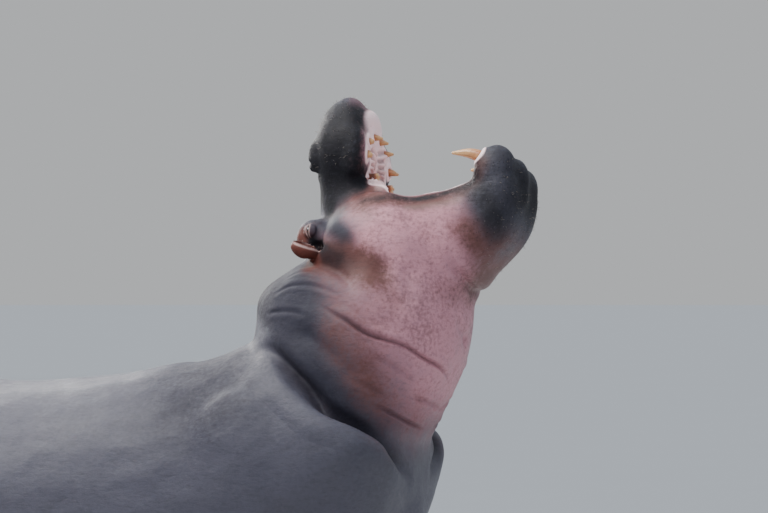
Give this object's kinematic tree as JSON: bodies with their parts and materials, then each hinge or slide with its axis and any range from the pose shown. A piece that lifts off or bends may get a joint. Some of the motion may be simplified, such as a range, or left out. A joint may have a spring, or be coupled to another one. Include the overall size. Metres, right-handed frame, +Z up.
{
  "type": "hippopotamus",
  "caption": "Life-size still model of a hippopotamus that stands on all fours, head thrown back in a wide yawn.",
  "frame": {"origin": "centre of the bounding box in plan, at floor level under the soles", "axes": "+X ahead, the way the body faces; +Y the animal's left; +Z up"},
  "size_m": [2.5258, 1.0992, 2.1339],
  "materials": {
    "hide": "wet, finely crackled skin, satin",
    "mouth": "moist, smooth",
    "ivory": "polished, stained yellow to brown",
    "molar": "satin",
    "eye": "wet gloss",
    "nail": "satin horn"
  },
  "bodies": {
    "root": {"ear_left": "hide", "ear_right": "hide", "eye_left": "eye", "eye_right": "eye", "head": "hide", "leg_front_left": "hide", "leg_front_right": "hide", "leg_hind_left": "hide", "leg_hind_right": "hide", "lower_incisor_inner_left": "ivory", "lower_incisor_inner_right": "ivory", "lower_incisor_outer_left": "ivory", "lower_incisor_outer_right": "ivory", "lower_jaw": "hide", "molars_lower_left": "molar", "molars_lower_right": "molar", "molars_upper_left": "molar", "molars_upper_right": "molar", "nail_front_left_1": "nail", "nail_front_left_2": "nail", "nail_front_left_3": "nail", "nail_front_left_4": "nail", "nail_front_right_1": "nail", "nail_front_right_2": "nail", "nail_front_right_3": "nail", "nail_front_right_4": "nail", "nail_hind_left_1": "nail", "nail_hind_left_2": "nail", "nail_hind_left_3": "nail", "nail_hind_left_4": "nail", "nail_hind_right_1": "nail", "nail_hind_right_2": "nail", "nail_hind_right_3": "nail", "nail_hind_right_4": "nail", "neck": "hide", "tail": "hide", "tongue": "mouth", "trunk": "hide", "tusk_left": "ivory", "tusk_right": "ivory", "upper_canine_left": "ivory", "upper_canine_right": "ivory", "upper_incisor_inner_left": "ivory", "upper_incisor_inner_right": "ivory", "upper_incisor_outer_left": "ivory", "upper_incisor_outer_right": "ivory"}
  },
  "joints": []
}
